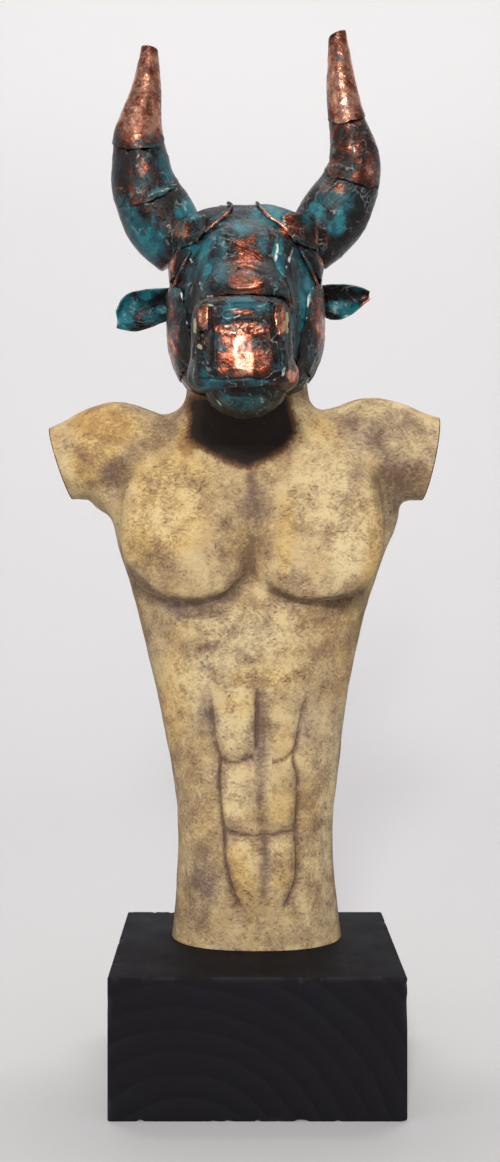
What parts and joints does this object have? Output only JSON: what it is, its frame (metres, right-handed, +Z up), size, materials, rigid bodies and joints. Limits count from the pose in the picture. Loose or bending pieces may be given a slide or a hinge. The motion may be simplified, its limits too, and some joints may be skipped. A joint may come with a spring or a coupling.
{
  "type": "minotaur statue",
  "caption": "Plaster torso with sawn-off arms under a bull's head of patinated copper sheet with two horns, standing on a black wood block.",
  "frame": {"origin": "centre of the plinth's underside", "axes": "+Z up along the figure, -Y the way the face looks, +X to the viewer's right"},
  "size_m": [0.2888, 0.2007, 0.7538],
  "materials": {
    "black_wood": "black stain, satin",
    "plaster": "painted plaster, matt, brushed cream and ochre with a violet-brown wash",
    "dark_copper": "oxidised copper sheet, dark brown with green patina",
    "bright_copper": "copper sheet, rubbed bright on the high places",
    "verdigris": "copper sheet under blue-green verdigris"
  },
  "bodies": {
    "root": {"plinth": "black_wood", "torso": "plaster", "head": "dark_copper", "muzzle": "bright_copper", "lower_jaw": "verdigris", "nose_bridge": "bright_copper", "left_brow_wire": "bright_copper", "right_brow_wire": "bright_copper", "left_cheek": "dark_copper", "left_brow": "bright_copper", "left_eye": "bright_copper", "left_eye_rim": "dark_copper", "left_horn_base": "verdigris", "left_horn_middle": "dark_copper", "left_horn_tip": "bright_copper", "left_ear": "verdigris", "right_cheek": "dark_copper", "right_brow": "bright_copper", "right_eye": "bright_copper", "right_eye_rim": "dark_copper", "right_horn_base": "verdigris", "right_horn_middle": "dark_copper", "right_horn_tip": "bright_copper", "right_ear": "verdigris"}
  },
  "joints": []
}
